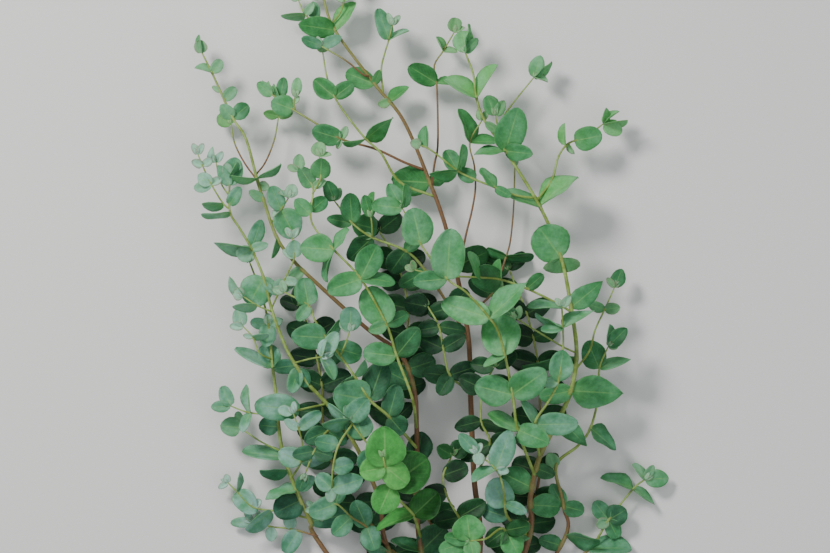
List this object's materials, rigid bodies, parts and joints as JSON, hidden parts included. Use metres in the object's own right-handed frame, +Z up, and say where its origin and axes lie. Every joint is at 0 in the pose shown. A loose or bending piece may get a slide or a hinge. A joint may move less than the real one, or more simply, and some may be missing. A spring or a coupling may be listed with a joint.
{
  "type": "eucalyptus branch",
  "caption": "Cut leafy eucalyptus branch lying flat, forking into slender shoots of paired round blue-green leaves with pale young tips.",
  "frame": {"origin": "on the surface that the branch lies on, under the middle of the branch's box", "axes": "+Y along the branch from the cut end to the tips, +Z up away from the surface, +X to the right seen from above with the tips pointing away"},
  "size_m": [0.4322, 0.7464, 0.125],
  "materials": {
    "bark": "rough woody bark with a pale cut end",
    "woody_stem": "smooth pink-brown young bark turning green towards the tip",
    "green_stem": "smooth satin yellow-green stem",
    "foliage": "soft satin leaf with a waxy grey-blue bloom, pale veins and a thin pale margin",
    "young_foliage": "matte pale mint young leaf"
  },
  "bodies": {
    "root": {"limb": "bark", "leader_tall": "woody_stem", "tall_tip_right": "young_foliage", "tall_tip_left": "young_foliage", "tall_twig_left": "young_foliage", "tall_twig_right": "young_foliage", "long_left_shoot": "foliage", "long_left_twig": "young_foliage", "green_arc": "foliage", "brown_mid_shoot": "foliage", "brown_right_shoot": "foliage", "brown_far_shoot": "foliage", "centre_back_shoot": "foliage", "centre_back_twig": "young_foliage", "leader_right": "green_stem", "right_tip_twig": "young_foliage", "right_thin_shoot": "foliage", "right_upper_shoot": "foliage", "right_to_centre": "foliage", "right_low_to_left": "foliage", "right_inner_twig": "young_foliage", "right_front_shoot": "foliage", "centre_front_shoot": "green_stem", "leader_left": "woody_stem", "left_inner_twig": "young_foliage", "left_side_shoot": "foliage", "left_cross_shoot": "foliage", "centre_left_shoot": "green_stem", "centre_left_twig": "young_foliage", "left_back_shoot": "green_stem", "left_back_twig": "young_foliage", "leader_left_low": "woody_stem", "pale_cross_twig": "young_foliage", "left_low_side": "foliage", "left_low_riser": "foliage", "fan_left": "young_foliage", "fan_mid": "young_foliage", "leader_far_left": "woody_stem", "far_left_twig": "young_foliage", "left_reaching_shoot": "foliage", "left_low_twig": "young_foliage", "left_front_shoot": "foliage", "low_left_shoot": "foliage", "lowest_left_shoot": "foliage", "front_bright_shoot": "green_stem", "front_left_shoot": "foliage", "drooping_shoot": "foliage", "inner_left_shoot": "foliage", "low_centre_left": "foliage", "right_low_front": "foliage", "lowest_front": "foliage", "leader_far_right": "woody_stem", "far_right_back": "foliage", "lowest_right_shoot": "foliage", "inner_low_shoot": "foliage", "inner_right_shoot": "foliage", "inner_upper_shoot": "foliage", "back_left_shoot": "foliage", "back_middle_shoot": "foliage", "back_right_shoot": "foliage"}
  },
  "joints": []
}
